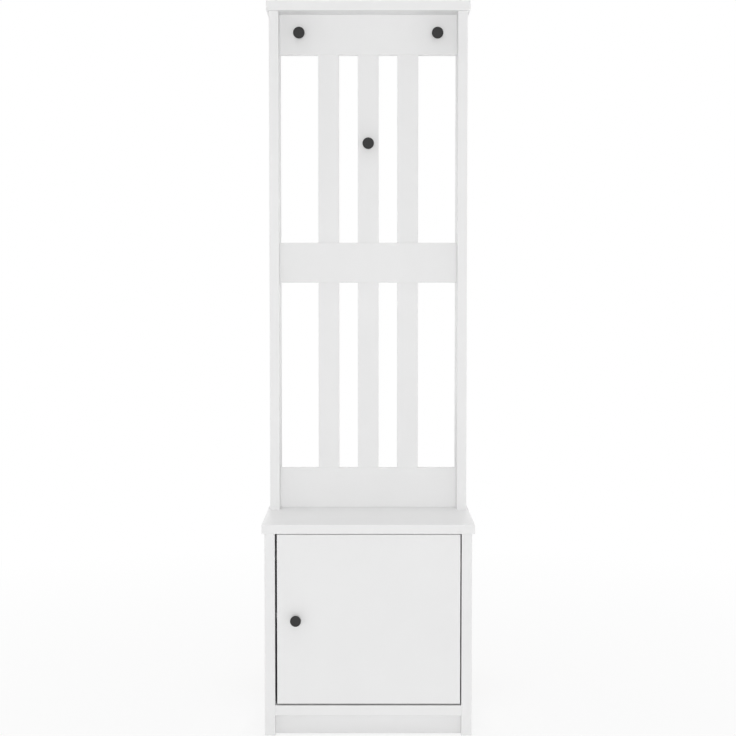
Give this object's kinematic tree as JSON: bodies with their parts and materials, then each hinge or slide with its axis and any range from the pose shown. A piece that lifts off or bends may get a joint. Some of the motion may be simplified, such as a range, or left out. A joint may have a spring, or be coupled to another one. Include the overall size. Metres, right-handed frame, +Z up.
{
  "type": "coat stand",
  "caption": "Tall narrow white coat stand: slatted back frame with black coat pegs and a cap board, over a seat and a shoe cabinet with an inset hinged door.",
  "frame": {"origin": "on the floor, in the middle of the stand's width and depth", "axes": "+Z up, front towards -Y, +X to the right as seen from the front"},
  "size_m": [0.512, 0.365, 1.824],
  "materials": {
    "white_board": "white satin lacquer on wood board",
    "hardboard": "white-faced hardboard",
    "black_metal": "black satin powder coat",
    "beech": "fluted beech, unfinished",
    "zinc": "bright zinc plate",
    "nickel_steel": "nickel-plated pressed steel",
    "black_plastic": "moulded, matt",
    "white_metal": "white powder coat"
  },
  "bodies": {
    "stand": {"back_nails": "zinc", "back_panel": "hardboard", "board_dowels": "beech", "bottom_shelf": "white_board", "bracket_screws": "zinc", "cabinet_left_side": "white_board", "cabinet_right_side": "white_board", "cam_bolts": "zinc", "cam_locks": "zinc", "cap_board": "white_board", "catch_screw": "zinc", "coat_peg_centre": "black_metal", "coat_peg_left": "black_metal", "coat_peg_right": "black_metal", "hinge_plate_screws": "zinc", "inner_shelf": "white_board", "left_post": "white_board", "left_wall_bracket": "white_metal", "lower_centre_slat": "white_board", "lower_hinge_arm": "nickel_steel", "lower_hinge_plate": "nickel_steel", "lower_left_slat": "white_board", "lower_rail": "white_board", "lower_right_slat": "white_board", "magnetic_catch": "black_plastic", "middle_rail": "white_board", "peg_screws": "zinc", "plinth_board": "white_board", "rail_dowels": "beech", "right_post": "white_board", "right_wall_bracket": "white_metal", "seat_board": "white_board", "shelf_pins": "zinc", "slat_dowels": "beech", "top_rail": "white_board", "upper_centre_slat": "white_board", "upper_hinge_arm": "nickel_steel", "upper_hinge_plate": "nickel_steel", "upper_left_slat": "white_board", "upper_right_slat": "white_board"},
    "door_leaf": {"door": "white_board", "door_knob": "black_metal", "knob_screw": "zinc", "lower_hinge_cup": "nickel_steel", "upper_hinge_cup": "nickel_steel", "lower_hinge_pin": "nickel_steel", "upper_hinge_pin": "nickel_steel", "cup_screws": "zinc", "strike_plate": "zinc", "strike_screws": "zinc"}
  },
  "joints": [
    {"name": "door_swing", "type": "hinge", "parent": "stand", "child": "door_leaf", "pos_m": [0.1995, -0.147, 0.284], "axis": [0, 0, 1], "range_deg": [0, 95]}
  ]
}
